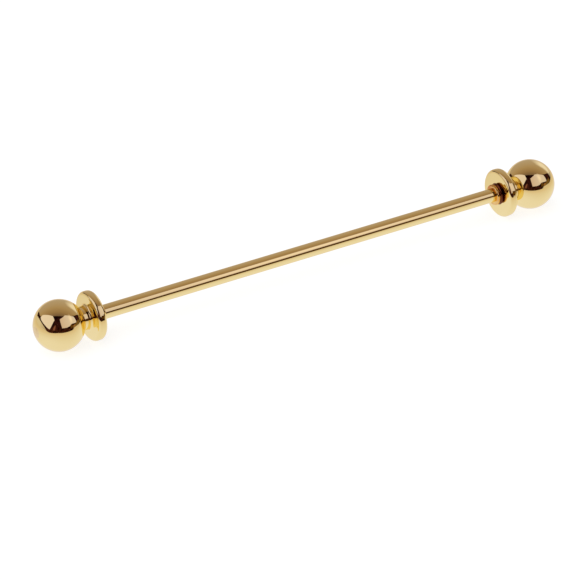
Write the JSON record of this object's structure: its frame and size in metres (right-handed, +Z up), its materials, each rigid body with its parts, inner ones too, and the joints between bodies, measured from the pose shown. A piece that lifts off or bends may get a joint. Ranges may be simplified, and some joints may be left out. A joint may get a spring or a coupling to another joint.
{
  "type": "collar bar",
  "caption": "Slim round bar that pins a shirt collar between two flanges, each kept on by a ball that screws off the bar's threaded end.",
  "frame": {"origin": "middle of the bar, on its axis", "axes": "+X runs along the bar to the right ball, +Z is up"},
  "size_m": [0.0586, 0.005, 0.005],
  "materials": {
    "polished_gold": "gold plate over turned brass, polished to a mirror"
  },
  "bodies": {
    "bar": {"bar_rod": "polished_gold"},
    "left_flange": {"left_flange": "polished_gold"},
    "left_ball": {"left_ball": "polished_gold"},
    "right_flange": {"right_flange": "polished_gold"},
    "right_ball": {"right_ball": "polished_gold"}
  },
  "joints": [
    {"name": "left_flange_slide", "type": "slide", "parent": "bar", "child": "left_flange", "axis": [-1, 0, 0], "range_m": [0, 0.006]},
    {"name": "left_ball_spin", "type": "hinge", "parent": "left_flange", "child": "left_ball", "pos_m": [-0.0268, 0, 0], "axis": [-1, 0, 0], "range_deg": [0, 8640]},
    {"name": "right_flange_slide", "type": "slide", "parent": "bar", "child": "right_flange", "axis": [1, 0, 0], "range_m": [0, 0.006]},
    {"name": "right_ball_spin", "type": "hinge", "parent": "right_flange", "child": "right_ball", "pos_m": [0.0268, 0, 0], "axis": [1, 0, 0], "range_deg": [0, 8640]}
  ],
  "couplings": [
    {"joint": "left_ball_spin", "follows": "left_flange_slide", "rad_per_m": 25133},
    {"joint": "right_ball_spin", "follows": "right_flange_slide", "rad_per_m": 25133}
  ]
}
